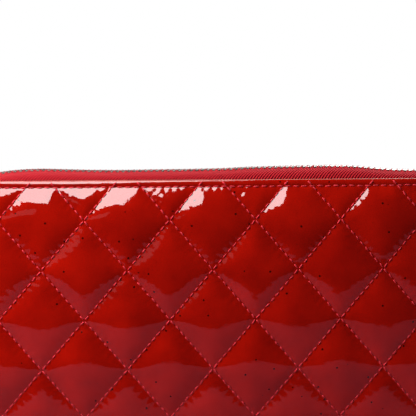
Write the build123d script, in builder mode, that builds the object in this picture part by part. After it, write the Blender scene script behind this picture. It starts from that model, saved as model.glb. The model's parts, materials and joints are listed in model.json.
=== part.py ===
from build123d import *
import math
import os

# A long zip-around wallet in quilted patent leather, closed and standing on its spine.
# Millimetres. X runs along the length, Y through the thickness (the front looks to -Y), Z up.
# The origin is the middle of the flat under the spine. Every level across the thickness is
# a distance from the middle plane Y = 0, and the back half mirrors the front half.

# ---------------------------------------------------------------- driving dimensions
LEATHER_LENGTH = 186.0
LEATHER_TOP = 100.0
CORNER_RADIUS = 18.0
HINGE_HEIGHT = 12.0  # the covers fold about this level
COVER_FOOT = 13.6  # lowest edge of the flat layers of a cover

# Layers, from the coin pocket in the middle to the quilted skin outside.
COIN_GAP = 5.0
COIN_WALL = 0.7
BILL_GAP = 4.2
CARD_LEAF = 0.4
CARD_ROWS = 3
SLOT_PANEL = 0.4
SLIP_GAP = 0.3
LINING = 0.5
BOARD = 0.8
FOAM_SHEET = 0.3
SKIN = 0.9
PUFF = 2.4

Y_COIN_IN = COIN_GAP / 2
Y_COIN_OUT = Y_COIN_IN + COIN_WALL
Y_CARD_FACE = Y_COIN_OUT + BILL_GAP
Y_PANEL = Y_CARD_FACE + CARD_ROWS * CARD_LEAF
Y_PANEL_BACK = Y_PANEL + SLOT_PANEL
Y_LINING = Y_PANEL_BACK + SLIP_GAP
Y_BOARD = Y_LINING + LINING
Y_FOAM = Y_BOARD + BOARD
Y_SKIN = Y_FOAM + FOAM_SHEET
Y_FACE = Y_SKIN + SKIN
Y_CREST = Y_FACE + PUFF

# Quilting: diamonds as wide and as high as this, with a row of crossings at QUILT_ROW.
DIAMOND_WIDTH = 30.0
DIAMOND_HEIGHT = 34.7
QUILT_ROW = 86.0
GROOVE_SLOPE = 2.4  # half width of a groove to its depth
PILLOW_INSET = 2.6  # the edge seam, where the padding is pressed flat

# Main zip. The chain runs this far outside the leather's edge.
CHAIN_RISE = 2.8
TAPE = 0.6
TAPE_EDGE = 1.3
TAPE_FLAT = 3.6  # the tape is flat this far from the middle, for the teeth and the slider
TAPE_TUCK = 5.0  # sewn this far in behind the leather's edge
TAPE_END = 16.0  # height of the tape's two ends
PITCH = 2.0
TOOTH_LENGTH = 0.86
TOOTH_THICK = 1.6
TOOTH_HEAD = 0.95  # reach past the middle plane
TOOTH_LEG = 3.3
SLOT_PLAY = 0.02
CHAIN_START_RIGHT = 34.0
CHAIN_START_LEFT = 19.6
TOP_STOP_HEIGHT = 19.8
SLIDER_HEIGHT = 28.5
SLIDER_LENGTH = 9.0
SLIDER_HALF_TOP = 3.8
SLIDER_HALF_UNDER = 3.4
SLIDER_CHANNEL = 1.15  # half the gap between the plates
SLIDER_PLATE = 0.8
SLIDER_LIP = 0.55
CROWN_LENGTH = 6.4
CROWN_RISE = 3.2
CROWN_WIDTH = 1.8
CROWN_BAR = 0.7
PIN_BACK = 1.0  # the pull's pin is this far towards the mouth from the slider's middle
PIN_RISE = 0.95
LINK_LENGTH = 8.0
LINK_WIDTH = 4.6
LINK_BAR = 1.2
TAB_START = 6.7
TAB_LENGTH = 17.5
TAB_WIDTH = 8.0
TAB_NECK = 4.3
TAB_THICK = 2.2

# Spine channel.
SPINE_TOP = HINGE_HEIGHT - 1.5
SPINE_ROUND = 6.0
SPINE_FOAM = 1.2
SPINE_BOARD = 0.8
KNUCKLE_RADIUS = 1.1
END_TAB_WALL = 1.2
END_TAB_HALF = 10.8
END_TAB_FOOT = 2.4
END_TAB_TOP = 15.3

# Inside.
POCKET_HALF = 88.0
COIN_TOP = 74.0
COIN_CHAIN = 78.3
COIN_TAPE = 0.4
COIN_TAPE_EDGE = 0.9
COIN_TAPE_FLAT = 1.6
COIN_TAPE_SEWN = 8.0  # overlap with the pocket's wall
COIN_TOOTH_LEG = 1.55
COIN_TOOTH_HEAD = 0.8
COIN_TOOTH_THICK = 1.2
COIN_SLIDER_X = 74.5
COIN_SLIDER_LENGTH = 8.0
COIN_SLIDER_HALF_TOP = 2.6
COIN_SLIDER_HALF_UNDER = 1.8
COIN_CHANNEL = 0.95
COIN_PLATE = 0.7
COIN_LIP = 0.4
COIN_CROWN_LENGTH = 5.4
COIN_CROWN_RISE = 2.8
COIN_CROWN_WIDTH = 1.5
COIN_CROWN_BAR = 0.6
COIN_PIN_BACK = 0.8
COIN_PIN_RISE = 0.8
COIN_PULL_LENGTH = 14.0
COIN_PULL_WIDTH = 3.4
COIN_PULL_BAR = 1.0
CARD_HALF = 85.0
CARD_TOPS = [80.0, 67.0, 54.0]
PANEL_TOP = 88.0
GUSSET = 0.4
GUSSET_TOP = 64.0
GUSSET_DEEP_TOP = 26.0
GUSSET_DEEP_FOOT = 6.0

HALF = LEATHER_LENGTH / 2
CORNER_X = HALF - CORNER_RADIUS
CORNER_Z = LEATHER_TOP - CORNER_RADIUS
POCKET_FLOOR = SKIN + SPINE_FOAM + SPINE_BOARD + LINING


def save(part, name):
    """Labels a finished piece and writes its STEP file."""
    part.label = name
    export_step(part, f"parts/{name}.step")


def save_pair(part, name):
    """Writes a piece of the front cover and its mirror image on the back cover."""
    save(part, f"front_{name}")
    save(part.mirror(Plane.XZ), f"back_{name}")


# ---------------------------------------------------------------- flat layers of a cover
def cover_outline(inset, foot):
    """Closed outline of a cover layer: square at the foot, round at the two top corners."""
    half, top, radius = HALF - inset, LEATHER_TOP - inset, CORNER_RADIUS - inset
    with BuildLine() as outline:
        Polyline(
            (-half, top - radius), (-half, foot), (half, foot), (half, top - radius)
        )
        RadiusArc((half, top - radius), (half - radius, top), -radius)
        Line((half - radius, top), (radius - half, top))
        RadiusArc((radius - half, top), (-half, top - radius), -radius)
    return outline.line


def cover_plane(level):
    """Plane of the front cover at this distance from the middle. Its normal looks to -Y."""
    return Plane(origin=(0, -level, 0), x_dir=(1, 0, 0), z_dir=(0, -1, 0))


def cover_layer(level, thickness, inset, foot=COVER_FOOT):
    """Flat layer of the front cover, from level outwards."""
    with BuildPart() as layer:
        with BuildSketch(cover_plane(level)):
            with BuildLine():
                add(cover_outline(inset, foot))
            make_face()
        extrude(amount=thickness)
    return layer.part


def quilt_lines():
    """Seam lines as (point on the line, direction), in the plane of the cover."""
    half_width, half_height = DIAMOND_WIDTH / 2, DIAMOND_HEIGHT / 2
    reach = int((HALF + LEATHER_TOP) / DIAMOND_WIDTH) + 2
    lines = []
    for lean in (-1, 1):
        for count in range(-reach, reach):
            point = (half_width + count * DIAMOND_WIDTH, QUILT_ROW)
            lines.append((point, (lean * half_width, half_height)))
    return lines


def pillows(level, height):
    """Quilted pillows on the front cover: a slab with a V groove along every seam."""
    seams = []
    for (x, z), (run, rise) in quilt_lines():
        seams.append(
            Plane(
                origin=(x, -level, z),
                x_dir=Vector(rise, 0, -run).normalized(),
                z_dir=Vector(run, 0, rise).normalized(),
            )
        )
    foot = COVER_FOOT + PILLOW_INSET
    with BuildPart() as slab:
        with BuildSketch(cover_plane(level)):
            with BuildLine():
                add(cover_outline(PILLOW_INSET, foot))
            make_face()
        extrude(amount=height, taper=55)
        for seam in seams:
            outward = 1 if seam.y_dir.Y < 0 else -1
            with BuildSketch(seam):
                with BuildLine():
                    Polyline(
                        (0, 0),
                        (GROOVE_SLOPE * height * 2, outward * height * 2),
                        (-GROOVE_SLOPE * height * 2, outward * height * 2),
                        close=True,
                    )
                make_face()
            extrude(amount=LEATHER_LENGTH, both=True, mode=Mode.SUBTRACT)
    return slab.part


def cover_padding():
    """Foam sheet with its quilted pillows."""
    with BuildPart() as padding:
        add(cover_layer(Y_FOAM, FOAM_SHEET, PILLOW_INSET, COVER_FOOT + PILLOW_INSET))
        add(pillows(Y_SKIN, PUFF))
    return padding.part


def cover_leather():
    """Patent skin over the pillows, with the rounded bead that it folds on at the foot."""
    with BuildPart() as leather:
        add(cover_layer(Y_SKIN, SKIN, 0.0, HINGE_HEIGHT))
        add(pillows(Y_FACE, PUFF))
        add(pillows(Y_SKIN, PUFF), mode=Mode.SUBTRACT)
        axis_level = (Y_LINING + Y_FACE) / 2
        with BuildSketch(Plane.YZ.offset(-HALF)):
            with Locations((-axis_level, HINGE_HEIGHT)):
                Circle(KNUCKLE_RADIUS)
        extrude(amount=LEATHER_LENGTH)
    return leather.part


def card_leaf(row):
    """One row of card pockets. Row 0 lies on the slot panel, each next one on the last."""
    top = CARD_TOPS[row]
    level = Y_PANEL - (row + 1) * CARD_LEAF
    with BuildPart() as leaf:
        with BuildSketch(cover_plane(level)) as face:
            with Locations((0, (top + COVER_FOOT) / 2)):
                Rectangle(2 * CARD_HALF, top - COVER_FOOT)
            fillet(face.vertices().group_by(Axis.Y)[-1], 3.0)
        extrude(amount=CARD_LEAF)
    return leaf.part


def slot_panel():
    """Panel that carries the card pockets, with the slip pocket behind it."""
    with BuildPart() as panel:
        with BuildSketch(cover_plane(Y_PANEL)) as face:
            with Locations((0, (PANEL_TOP + COVER_FOOT) / 2)):
                Rectangle(2 * CARD_HALF, PANEL_TOP - COVER_FOOT)
            fillet(face.vertices().group_by(Axis.Y)[-1], 8.0)
        extrude(amount=SLOT_PANEL)
    return panel.part


def gusset_leaf(level, side, foot):
    """Half of a folding end gusset: deep at the top and shallow at the foot."""
    fold_top = side * (POCKET_HALF - GUSSET_DEEP_TOP)
    fold_foot = side * (POCKET_HALF - GUSSET_DEEP_FOOT)
    edge = side * POCKET_HALF
    with BuildPart() as leaf:
        with BuildSketch(cover_plane(level)):
            with BuildLine():
                Polyline(
                    (edge, foot),
                    (edge, GUSSET_TOP),
                    (fold_top, GUSSET_TOP),
                    (fold_foot, foot),
                    close=True,
                )
            make_face()
        extrude(amount=GUSSET)
    return leaf.part


# ---------------------------------------------------------------- main zip
def zip_path(foot):
    """The leather's edge from the right foot, over the top, to the left foot."""
    with BuildLine() as path:
        FilletPolyline(
            (HALF, 0, foot),
            (HALF, 0, LEATHER_TOP),
            (-HALF, 0, LEATHER_TOP),
            (-HALF, 0, foot),
            radius=CORNER_RADIUS,
        )
    return path.line


def tape_half():
    """Front half of the tape: sewn in flat, bulging up over the edge, flat at the chain."""
    sewn = (Y_BOARD + 0.2 + Y_FOAM) / 2
    rise_from = -0.5
    low, high = CHAIN_RISE - TAPE / 2, CHAIN_RISE + TAPE / 2
    with BuildPart() as tape:
        # The section's x points outwards from the edge, and its y points to +Y.
        with BuildSketch(Plane(origin=(HALF, 0, TAPE_END), x_dir=(1, 0, 0), z_dir=(0, 0, 1))):
            with BuildLine():
                Line((-TAPE_TUCK, -sewn - TAPE / 2), (rise_from, -sewn - TAPE / 2))
                EllipticalCenterArc(
                    (rise_from, -TAPE_FLAT),
                    high - rise_from,
                    sewn + TAPE / 2 - TAPE_FLAT,
                    start_angle=270,
                    arc_size=90,
                )
                Polyline(
                    (high, -TAPE_FLAT), (high, -TAPE_EDGE), (low, -TAPE_EDGE), (low, -TAPE_FLAT)
                )
                EllipticalCenterArc(
                    (rise_from, -TAPE_FLAT),
                    low - rise_from,
                    sewn - TAPE / 2 - TAPE_FLAT,
                    start_angle=270,
                    arc_size=90,
                )
                Polyline(
                    (rise_from, -sewn + TAPE / 2),
                    (-TAPE_TUCK, -sewn + TAPE / 2),
                    (-TAPE_TUCK, -sewn - TAPE / 2),
                )
            make_face()
        sweep(path=zip_path(TAPE_END))
    return tape.part


def tooth(head, leg, edge, thick, slot):
    """One zip tooth, clamped on the tape's edge. x along the chain, y to the other tape."""
    with BuildPart() as body:
        with BuildSketch(Plane.XY.offset(-thick / 2)):
            with BuildLine():
                Polyline(
                    (-TOOTH_LENGTH / 2, -leg),
                    (TOOTH_LENGTH / 2, -leg),
                    (TOOTH_LENGTH / 2, head - 0.3),
                    (TOOTH_LENGTH / 4, head),
                    (-TOOTH_LENGTH / 4, head),
                    (-TOOTH_LENGTH / 2, head - 0.3),
                    close=True,
                )
            make_face()
        extrude(amount=thick)
        with Locations((0, -(leg + edge) / 2 - 0.5, 0)):
            Box(2 * TOOTH_LENGTH, leg - edge + 1.0, slot, mode=Mode.SUBTRACT)
        chamfer(body.edges().filter_by(Axis.X).group_by(Axis.Y)[0], 0.15)
    return body.part


def chain_station(distance):
    """Place on the main chain, from the right foot: (x, z) and the outward direction."""
    radius = CORNER_RADIUS + CHAIN_RISE
    side = CORNER_Z - CHAIN_START_LEFT
    corner = radius * math.pi / 2
    top = 2 * CORNER_X
    if distance < side:
        return (CORNER_X + radius, CHAIN_START_LEFT + distance), (1.0, 0.0)
    distance -= side
    if distance < corner:
        out = (math.cos(distance / radius), math.sin(distance / radius))
        return (CORNER_X + radius * out[0], CORNER_Z + radius * out[1]), out
    distance -= corner
    if distance < top:
        return (CORNER_X - distance, CORNER_Z + radius), (0.0, 1.0)
    distance -= top
    if distance < corner:
        out = (-math.sin(distance / radius), math.cos(distance / radius))
        return (-CORNER_X + radius * out[0], CORNER_Z + radius * out[1]), out
    distance -= corner
    return (-CORNER_X - radius, CORNER_Z - distance), (-1.0, 0.0)


def chain_length():
    """Length of the chain's path between the two feet at CHAIN_START_LEFT."""
    radius = CORNER_RADIUS + CHAIN_RISE
    return 2 * (CORNER_Z - CHAIN_START_LEFT) + math.pi * radius + 2 * CORNER_X


def chain_places(phase, toward):
    """Planes of the teeth of one tape, split at the top of the run that the slider travels."""
    slider_run, rest = [], []
    for count in range(int(chain_length() / PITCH)):
        distance = (count + 0.5 + phase) * PITCH
        (x, z), (out_x, out_z) = chain_station(distance)
        right_side = x > CORNER_X and z < CORNER_Z
        if right_side and z < CHAIN_START_RIGHT:
            continue
        out = Vector(out_x, 0, out_z)
        place = Plane(origin=(x, 0, z), x_dir=Vector(0, toward, 0).cross(out), z_dir=out)
        (slider_run if right_side else rest).append(place)
    return slider_run, rest


def toothed(one_tooth, places):
    """A row of separate teeth."""
    with BuildPart() as row:
        with Locations(*places):
            add(one_tooth)
    return row.part


def top_stop():
    """Clamp that stops the slider at the closed end, on the front tape."""
    with BuildPart() as stop:
        with Locations((HALF + CHAIN_RISE, -(TAPE_EDGE + 0.5), TOP_STOP_HEIGHT)):
            Box(TOOTH_THICK, 1.9, 1.6)
        with Locations((HALF + CHAIN_RISE, -(TAPE_EDGE + 1.2), TOP_STOP_HEIGHT)):
            Box(TAPE + 2 * SLOT_PLAY, 2.4, 3.0, mode=Mode.SUBTRACT)
    return stop.part


def bottom_stop():
    """Clamp that joins the two rows at the open end."""
    with BuildPart() as stop:
        with Locations((-HALF - CHAIN_RISE, 0, END_TAB_TOP + 1.4)):
            Box(TOOTH_THICK, 2.3, 2.8)
        fillet(stop.edges().filter_by(Axis.Z), 0.4)
    return stop.part


# ---------------------------------------------------------------- sliders and pulls
def slider_body(length, top_half, bottom_half, channel, plate, lip):
    """Zip slider at the origin. x is its travel, with the divider at -x; z points outwards."""
    with BuildPart() as body:
        for half, level, height in (
            (top_half, channel, plate),
            (bottom_half, -channel - plate, plate),
        ):
            with BuildSketch(Plane.XY.offset(level)) as face:
                Rectangle(length, 2 * half)
                fillet(face.vertices().group_by(Axis.X)[-1], half * 0.45)
                fillet(face.vertices().group_by(Axis.X)[0], half * 0.8)
            extrude(amount=height)
        # Lips that keep the teeth in the channel, above the tape.
        with Locations((0, 0.2 - top_half, channel - lip / 2), (0, top_half - 0.2, channel - lip / 2)):
            Box(length * 0.45, 0.4, lip)
        # Divider between the two mouths.
        with BuildSketch(Plane.XY.offset(-channel)):
            with Locations((-length / 2 + 1.3, 0)):
                Ellipse(1.1, 0.75)
        extrude(amount=2 * channel)
        chamfer(body.faces().sort_by(Axis.Z)[-1].edges(), 0.2)
    return body.part


def slider_crown(foot, length, rise, width, bar):
    """Arched bridge over the slider that holds the pull."""
    with BuildPart() as crown:
        with BuildSketch(Plane.XZ.offset(-width / 2)):
            with BuildLine():
                Polyline((-length / 2, foot), (-length / 2, foot + rise * 0.45))
                EllipticalCenterArc(
                    (0, foot + rise * 0.45), length / 2, rise * 0.55, start_angle=180, arc_size=-180
                )
                Polyline(
                    (length / 2, foot + rise * 0.45),
                    (length / 2, foot),
                    (length / 2 - bar, foot),
                    (length / 2 - bar, foot + rise * 0.45),
                )
                EllipticalCenterArc(
                    (0, foot + rise * 0.45),
                    length / 2 - bar,
                    rise * 0.55 - bar,
                    start_angle=0,
                    arc_size=180,
                )
                Polyline(
                    (-length / 2 + bar, foot + rise * 0.45),
                    (-length / 2 + bar, foot),
                    (-length / 2, foot),
                )
            make_face()
        extrude(amount=width)
    return crown.part


def pull_link(length, width, bar):
    """Metal ring of the pull. Its pin is at the origin, and it reaches to -x."""
    with BuildPart() as link:
        with BuildSketch() as ring:
            with Locations((-length / 2, 0)):
                Rectangle(length + bar, width + 2 * bar)
                Rectangle(length - bar, width, mode=Mode.SUBTRACT)
            fillet(ring.vertices().group_by(Axis.X)[0], 1.0)
            fillet(ring.vertices().group_by(Axis.X)[-1], 0.5)
        extrude(amount=bar / 2, both=True)
    return link.part


def pull_tab(start, length, width, neck_width, thick, slot_half):
    """Leather tab of the pull. Its narrow neck is looped round the far bar of the link."""
    neck = 2.6
    shoulder = start + neck + 1.6
    end = start + length
    with BuildPart() as tab:
        with BuildSketch() as face:
            with BuildLine():
                Polyline(
                    (-start, neck_width / 2),
                    (-start, -neck_width / 2),
                    (-start - neck, -neck_width / 2),
                    (-shoulder, -width / 2),
                    (-end, -width / 2),
                    (-end, width / 2),
                    (-shoulder, width / 2),
                    (-start - neck, neck_width / 2),
                    close=True,
                )
            make_face()
            fillet(face.vertices().group_by(Axis.X)[0], width * 0.3)
        extrude(amount=thick / 2, both=True)
        with Locations((-start - neck / 2, 0, 0)):
            Box(2 * slot_half, 2 * neck_width, 2 * slot_half, mode=Mode.SUBTRACT)
    return tab.part


# ---------------------------------------------------------------- spine and coin pocket
def channel_section(half, bottom, top, radius):
    """Filled U section of the spine, in the YZ plane."""
    with BuildSketch(Plane.YZ.offset(-HALF)) as section:
        with Locations((0, (top + bottom) / 2)):
            Rectangle(2 * half, top - bottom)
        fillet(section.vertices().group_by(Axis.Y)[0], radius)
    return section.sketch


def channel(outer, inner):
    """U channel along the spine between two sections, each (half width, bottom, radius)."""
    with BuildPart() as body:
        extrude(channel_section(outer[0], outer[1], SPINE_TOP, outer[2]), amount=LEATHER_LENGTH)
        extrude(
            channel_section(inner[0], inner[1], SPINE_TOP, inner[2]),
            amount=LEATHER_LENGTH,
            mode=Mode.SUBTRACT,
        )
    return body.part


def end_tab():
    """Leather tab that closes the right end of the spine and covers the tape's end."""
    depth = CHAIN_RISE + 0.7
    with BuildPart() as tab:
        with BuildSketch(Plane.XY.offset(END_TAB_FOOT)):
            with Locations((HALF, 0)):
                Ellipse(depth, END_TAB_HALF)
        extrude(amount=END_TAB_TOP - END_TAB_FOOT)
        with BuildSketch(Plane.XY.offset(END_TAB_FOOT + END_TAB_WALL)):
            with Locations((HALF, 0)):
                Ellipse(depth - END_TAB_WALL, END_TAB_HALF - END_TAB_WALL)
        extrude(amount=END_TAB_TOP, mode=Mode.SUBTRACT)
        split(bisect_by=Plane.YZ.offset(HALF), keep=Keep.TOP)
    return tab.part


def coin_wall():
    """Front wall of the coin pocket."""
    with BuildPart() as wall:
        with BuildSketch(cover_plane(Y_COIN_IN)) as face:
            with Locations((0, (COIN_TOP + POCKET_FLOOR + COIN_WALL) / 2)):
                Rectangle(2 * POCKET_HALF, COIN_TOP - POCKET_FLOOR - COIN_WALL)
            fillet(face.vertices().group_by(Axis.Y)[-1], 4.0)
        extrude(amount=COIN_WALL)
    return wall.part


def coin_tape():
    """Front half of the coin zip's tape, sewn inside the wall and bent in to the chain."""
    outer, inner, flat = Y_COIN_IN, Y_COIN_IN - COIN_TAPE, COIN_TAPE_FLAT
    foot, knee = COIN_TOP - COIN_TAPE_SEWN, COIN_TOP + 1.3
    low, high = COIN_CHAIN - COIN_TAPE / 2, COIN_CHAIN + COIN_TAPE / 2
    half = POCKET_HALF - 4.0
    with BuildPart() as tape:
        with BuildSketch(Plane.YZ.offset(-half)):
            with BuildLine():
                Polyline((-inner, knee), (-inner, foot), (-outer, foot), (-outer, knee))
                EllipticalCenterArc(
                    (-flat, knee), outer - flat, high - knee, start_angle=90, arc_size=90
                )
                Polyline((-flat, high), (-COIN_TAPE_EDGE, high), (-COIN_TAPE_EDGE, low), (-flat, low))
                EllipticalCenterArc(
                    (-flat, knee), inner - flat, low - knee, start_angle=90, arc_size=90
                )
            make_face()
        extrude(amount=2 * half)
    return tape.part


def coin_places(phase, toward):
    """Planes of the coin zip's teeth on one tape."""
    half = POCKET_HALF - 8.0
    places = []
    for count in range(int(2 * half / PITCH)):
        x = -half + (count + 0.5 + phase) * PITCH
        if x > half - 12:
            continue
        places.append(
            Plane(origin=(x, 0, COIN_CHAIN), x_dir=(toward, 0, 0), z_dir=(0, 0, 1))
        )
    return places


# ---------------------------------------------------------------- build every piece
os.makedirs("parts", exist_ok=True)

save_pair(cover_leather(), "cover_leather")
save_pair(cover_padding(), "cover_padding")
save_pair(cover_layer(Y_BOARD, BOARD, TAPE_TUCK + 1.0), "cover_board")
save_pair(cover_layer(Y_LINING, LINING, 1.0), "cover_lining")
save_pair(slot_panel(), "slot_panel")
for row in range(CARD_ROWS):
    save_pair(card_leaf(row), f"card_slots_row_{row + 1}")
outer_leaf_level = Y_CARD_FACE - GUSSET
save_pair(gusset_leaf(outer_leaf_level, 1, COVER_FOOT), "gusset_outer_right")
save_pair(gusset_leaf(outer_leaf_level, -1, COVER_FOOT), "gusset_outer_left")
save_pair(gusset_leaf(Y_COIN_OUT, 1, POCKET_FLOOR + 1.0), "gusset_inner_right")
save_pair(gusset_leaf(Y_COIN_OUT, -1, POCKET_FLOOR + 1.0), "gusset_inner_left")

save_pair(tape_half(), "zip_tape")
main_tooth = tooth(TOOTH_HEAD, TOOTH_LEG, TAPE_EDGE, TOOTH_THICK, TAPE + 2 * SLOT_PLAY)
for cover, phase, toward in (("front", 0.0, 1), ("back", 0.5, -1)):
    slider_run, rest = chain_places(phase, toward)
    save(toothed(main_tooth, rest), f"{cover}_zip_teeth")
    save(toothed(main_tooth, slider_run), f"{cover}_zip_teeth_slider_run")
save_pair(top_stop(), "zip_top_stop")
save(bottom_stop(), "zip_bottom_stop")

# The main slider stands at the right foot, with its divider down and its outside to +X.
slider_place = Plane(
    origin=(HALF + CHAIN_RISE, 0, SLIDER_HEIGHT), x_dir=(0, 0, 1), z_dir=(1, 0, 0)
).location
slider_face = SLIDER_CHANNEL + SLIDER_PLATE
main_body = slider_body(
    SLIDER_LENGTH, SLIDER_HALF_TOP, SLIDER_HALF_UNDER, SLIDER_CHANNEL, SLIDER_PLATE, SLIDER_LIP
)
main_crown = slider_crown(slider_face, CROWN_LENGTH, CROWN_RISE, CROWN_WIDTH, CROWN_BAR)
save(main_body.moved(slider_place), "main_slider_body")
save(main_crown.moved(slider_place), "main_slider_crown")
pull_place = slider_place * Pos(-PIN_BACK, 0, slider_face + PIN_RISE)
main_link = pull_link(LINK_LENGTH, LINK_WIDTH, LINK_BAR)
main_tab = pull_tab(TAB_START, TAB_LENGTH, TAB_WIDTH, TAB_NECK, TAB_THICK, LINK_BAR / 2 + 0.05)
save(main_link.moved(pull_place), "main_pull_link")
save(main_tab.moved(pull_place), "main_pull_tab")

spine_levels = [
    (Y_FACE, 0.0, SPINE_ROUND),
    (Y_SKIN, SKIN, SPINE_ROUND - SKIN),
    (Y_FOAM, SKIN + SPINE_FOAM, SPINE_ROUND - SKIN - FOAM_SHEET),
    (Y_FOAM - LINING, POCKET_FLOOR, 3.0),
]
save(channel(spine_levels[0], spine_levels[1]), "spine_leather")
save(channel(spine_levels[1], spine_levels[2]), "spine_padding")
with BuildPart() as spine_board:
    with Locations((0, 0, SKIN + SPINE_FOAM + SPINE_BOARD / 2)):
        Box(LEATHER_LENGTH - 4, 10.0, SPINE_BOARD)
save(spine_board.part, "spine_board")
with BuildPart() as spine_lining:
    add(channel(spine_levels[2], spine_levels[3]))
    add(spine_board.part, mode=Mode.SUBTRACT)
save(spine_lining.part, "spine_lining")

save(end_tab(), "right_end_tab")
save(end_tab().mirror(Plane.YZ), "left_end_tab")

save(coin_wall(), "coin_pocket_front_wall")
save(coin_wall().mirror(Plane.XZ), "coin_pocket_back_wall")
with BuildPart() as coin_floor:
    with Locations((0, 0, POCKET_FLOOR + COIN_WALL / 2)):
        Box(2 * POCKET_HALF, 2 * Y_COIN_OUT, COIN_WALL)
save(coin_floor.part, "coin_pocket_floor")
with BuildPart() as coin_side:
    with Locations((POCKET_HALF - 0.75, 0, (POCKET_FLOOR + COIN_WALL + COIN_TOP - 6) / 2)):
        Box(1.5, COIN_GAP, COIN_TOP - 6 - POCKET_FLOOR - COIN_WALL)
save(coin_side.part, "coin_pocket_right_side")
save(coin_side.part.mirror(Plane.YZ), "coin_pocket_left_side")

save(coin_tape(), "coin_zip_front_tape")
save(coin_tape().mirror(Plane.XZ), "coin_zip_back_tape")
coin_tooth = tooth(
    COIN_TOOTH_HEAD, COIN_TOOTH_LEG, COIN_TAPE_EDGE, COIN_TOOTH_THICK, COIN_TAPE + 2 * SLOT_PLAY
)
save(toothed(coin_tooth, coin_places(0.0, 1)), "coin_zip_front_teeth")
save(toothed(coin_tooth, coin_places(0.5, -1)), "coin_zip_back_teeth")
with BuildPart() as coin_stops:
    for x in (-POCKET_HALF + 7.0, POCKET_HALF - 6.0):
        with Locations((x, 0, COIN_CHAIN)):
            Box(1.4, 1.7, 1.2)
save(coin_stops.part, "coin_zip_stops")

# The coin slider stands at the right end, with its divider to +X.
coin_place = Plane(
    origin=(COIN_SLIDER_X, 0, COIN_CHAIN), x_dir=(-1, 0, 0), z_dir=(0, 0, 1)
).location
coin_face = COIN_CHANNEL + COIN_PLATE
coin_body = slider_body(
    COIN_SLIDER_LENGTH, COIN_SLIDER_HALF_TOP, COIN_SLIDER_HALF_UNDER, COIN_CHANNEL, COIN_PLATE, COIN_LIP
)
coin_crown = slider_crown(
    coin_face, COIN_CROWN_LENGTH, COIN_CROWN_RISE, COIN_CROWN_WIDTH, COIN_CROWN_BAR
)
coin_pull = pull_link(COIN_PULL_LENGTH, COIN_PULL_WIDTH, COIN_PULL_BAR)
save(coin_body.moved(coin_place), "coin_slider_body")
save(coin_crown.moved(coin_place), "coin_slider_crown")
save(coin_pull.moved(coin_place * Pos(-COIN_PIN_BACK, 0, coin_face + COIN_PIN_RISE)), "coin_pull")
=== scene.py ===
import json
import math

import bmesh
import bpy
import numpy as np
from mathutils import Matrix, Vector


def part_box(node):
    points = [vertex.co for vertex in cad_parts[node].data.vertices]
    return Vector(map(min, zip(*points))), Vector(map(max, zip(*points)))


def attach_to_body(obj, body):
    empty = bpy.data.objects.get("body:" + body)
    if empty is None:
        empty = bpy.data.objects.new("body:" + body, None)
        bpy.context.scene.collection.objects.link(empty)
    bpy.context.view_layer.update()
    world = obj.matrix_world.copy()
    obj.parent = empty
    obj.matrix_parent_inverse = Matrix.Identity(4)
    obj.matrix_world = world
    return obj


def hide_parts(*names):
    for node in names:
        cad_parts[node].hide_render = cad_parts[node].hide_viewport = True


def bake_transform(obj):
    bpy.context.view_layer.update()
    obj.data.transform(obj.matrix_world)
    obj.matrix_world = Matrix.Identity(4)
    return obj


# Long zip-around wallet in quilted red patent leather, standing on its spine.
# Lengths are millimetres in the helpers, and metres in Blender.
# A sheet place (x, v) is a point of a cover's flat skin: along the wallet, and up from the spine.

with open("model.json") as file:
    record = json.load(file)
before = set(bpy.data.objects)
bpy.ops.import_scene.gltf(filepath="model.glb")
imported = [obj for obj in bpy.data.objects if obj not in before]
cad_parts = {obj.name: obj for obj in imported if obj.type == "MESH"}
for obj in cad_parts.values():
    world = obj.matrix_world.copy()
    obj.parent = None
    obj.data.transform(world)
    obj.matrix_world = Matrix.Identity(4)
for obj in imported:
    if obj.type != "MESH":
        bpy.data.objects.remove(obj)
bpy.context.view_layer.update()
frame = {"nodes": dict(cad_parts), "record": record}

MM = 0.001
QUARTER = math.pi / 2
SPINE, FRONT, BACK = "spine_and_pocket", "front_cover", "back_cover"
COVERS = [("front", FRONT, 1), ("back", BACK, -1)]  # name, body, and 1 where the outside faces -y
RANDOM = np.random.default_rng(11)


def node_box(node):
    """Lowest and highest corner of a CAD node, in millimetres."""
    low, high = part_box(node)
    return np.array(low) / MM, np.array(high) / MM


# ------------------------------------------------------------------ sizes from the frame
skin_low, skin_high = node_box("front_cover_leather")
tape_low, tape_high = node_box("front_zip_tape")
HALF = skin_high[0]
TOP = skin_high[2]
CAD_PUFF = 2.4
PUFF = 1.28  # height of the blown-up pillows
RIM_LEVEL = -skin_low[1] - CAD_PUFF - 0.4  # the leather's outside at its cut edge
CORNER = 18.0
CORNER_X, CORNER_Z = HALF - CORNER, TOP - CORNER
SEAM_INSET = 2.5

# Quilting
DIAMOND_W, DIAMOND_H = 30.0, 34.7
QUILT_ROW = 86.0
STITCHES = 9
CELLS = 36  # mesh cells along a diamond's side, four to a stitch
LATTICE_REACH = 9  # diamonds each way that cover the whole sheet
SHEET_FOOT = QUILT_ROW - 5.5 * DIAMOND_H / 2  # the line under the middle of the spine


# ------------------------------------------------------------------ mesh helpers
def new_mesh(name, verts, faces, materials, indices=None):
    """Smooth mesh object from points in millimetres."""
    mesh = bpy.data.meshes.new(name)
    mesh.from_pydata((np.asarray(verts, float) * MM).tolist(), [], faces)
    for paint in materials:
        mesh.materials.append(paint)
    if indices is not None:
        mesh.polygons.foreach_set("material_index", indices)
    mesh.polygons.foreach_set("use_smooth", [True] * len(mesh.polygons))
    mesh.update()
    return new_object(name, mesh)


def new_object(name, data):
    obj = bpy.data.objects.new(name, data)
    bpy.context.scene.collection.objects.link(obj)
    return obj


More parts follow.
